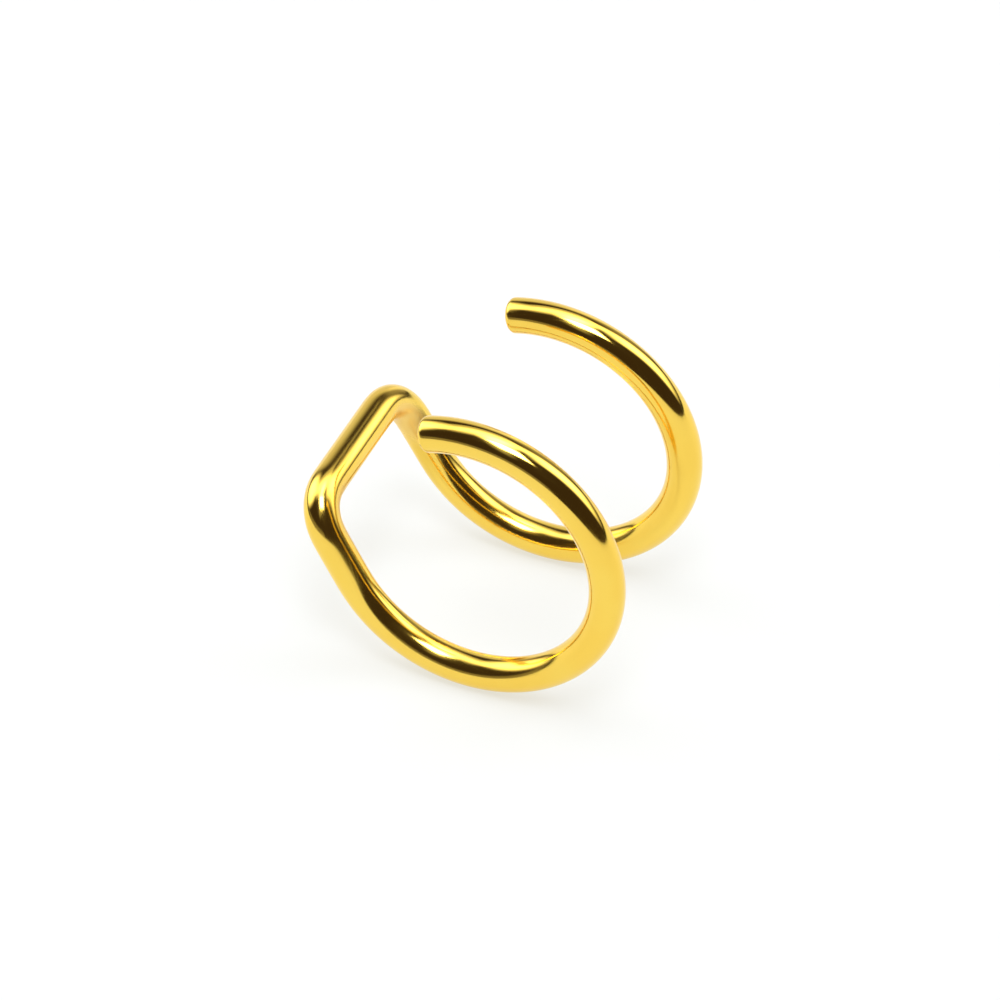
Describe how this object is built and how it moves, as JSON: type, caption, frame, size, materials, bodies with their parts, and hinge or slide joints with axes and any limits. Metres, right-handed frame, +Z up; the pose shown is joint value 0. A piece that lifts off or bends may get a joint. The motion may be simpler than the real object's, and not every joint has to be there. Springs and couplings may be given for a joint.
{
  "type": "ear cuff",
  "caption": "Ear cuff of one round gold wire: open hoops side by side, joined by a straight bar, that grip the rim of an ear.",
  "frame": {"origin": "on the floor, under the middle of the cuff's box as it rests on both hoops' rims", "axes": "+Y along the hoops' common axis and the bar; +Z up; -X towards the bar"},
  "size_m": [0.0126, 0.009, 0.0117],
  "materials": {
    "polished_gold": "yellow gold plate on drawn wire, polished bright"
  },
  "bodies": {
    "root": {"cuff_wire": "polished_gold"}
  },
  "joints": []
}
